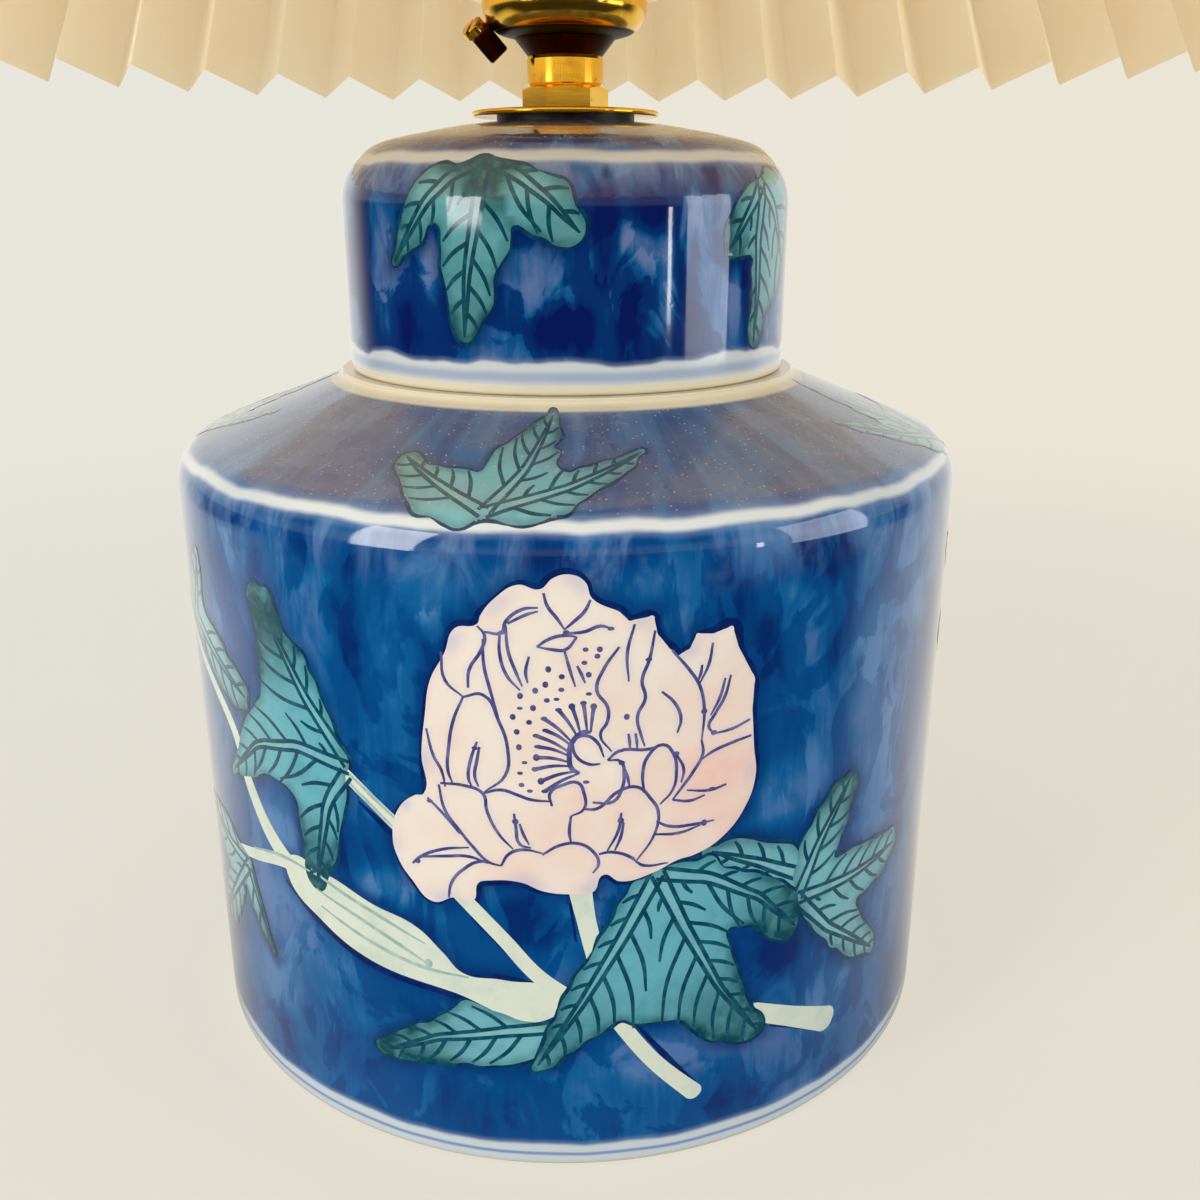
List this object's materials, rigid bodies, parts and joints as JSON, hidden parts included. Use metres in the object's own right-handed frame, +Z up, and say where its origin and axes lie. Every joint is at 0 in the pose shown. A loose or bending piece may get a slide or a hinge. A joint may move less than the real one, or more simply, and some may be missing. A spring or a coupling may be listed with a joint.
{
  "type": "jar table lamp",
  "caption": "Table lamp made from a lidded porcelain jar with a painted flower spray, a brass bayonet lampholder and a pleated cone shade.",
  "frame": {"origin": "on the lamp's axis, on the table under the jar's foot", "axes": "+Z up the lamp's axis, -Y towards the viewer of the picture, +X to that viewer's right"},
  "size_m": [0.3336, 0.3342, 0.3632],
  "materials": {
    "porcelain": "glossy clear glaze over cobalt painting",
    "brass": "polished, lightly aged",
    "plated_steel": "zinc plated",
    "black_rubber": "matte",
    "moulded_insulator": "moulded, dull",
    "lamp_cap": "bright rolled",
    "opal_glass": "opal",
    "brassed_wire": "brassed wire",
    "shade_paper": "matte, folded"
  },
  "bodies": {
    "base": {"jar_body": "porcelain", "jar_lid": "porcelain", "threaded_rod": "plated_steel", "base_gasket": "black_rubber", "base_washer": "plated_steel", "base_nut": "plated_steel", "lid_gasket": "black_rubber", "vase_disc": "brass", "lock_nut": "brass", "cord_grommet": "black_rubber", "holder_boss": "brass", "holder_dome": "brass", "holder_barrel": "brass", "holder_insulator": "moulded_insulator", "plunger_springs": "plated_steel", "terminal_screws": "plated_steel", "earth_terminal": "brass", "earth_screw": "brass"},
    "contacts": {"contact_plungers": "brass"},
    "bulb": {"bulb_cap": "lamp_cap", "bulb_glass": "opal_glass"},
    "collar": {"shade_ring": "brass"},
    "shade": {"fitter_ring": "brassed_wire", "top_ring": "brassed_wire", "shade_pleats": "shade_paper", "carrier_arm_1": "brassed_wire", "carrier_arm_2": "brassed_wire", "carrier_arm_3": "brassed_wire"}
  },
  "joints": [
    {"name": "shade_turn", "type": "hinge", "parent": "base", "child": "shade", "pos_m": [0, 0, 0.2132], "axis": [0, 0, 1], "continuous": true},
    {"name": "collar_turn", "type": "hinge", "parent": "base", "child": "collar", "pos_m": [0, 0, 0.2179], "axis": [0, 0, 1], "range_deg": [0, 720]},
    {"name": "bulb_press", "type": "slide", "parent": "base", "child": "contacts", "axis": [0, 0, 1], "range_m": [-0.0025, 0], "stiffness_N_per_m": 600, "springref_m": 0.004, "deforming": ["plunger_springs"]},
    {"name": "bulb_twist", "type": "hinge", "parent": "contacts", "child": "bulb", "pos_m": [0, 0, 0.2363], "axis": [0, 0, 1], "range_deg": [0, 20]}
  ],
  "couplings": [
    {"joint": "bulb_twist", "follows": "bulb_press", "rad_per_m": -139.6}
  ]
}
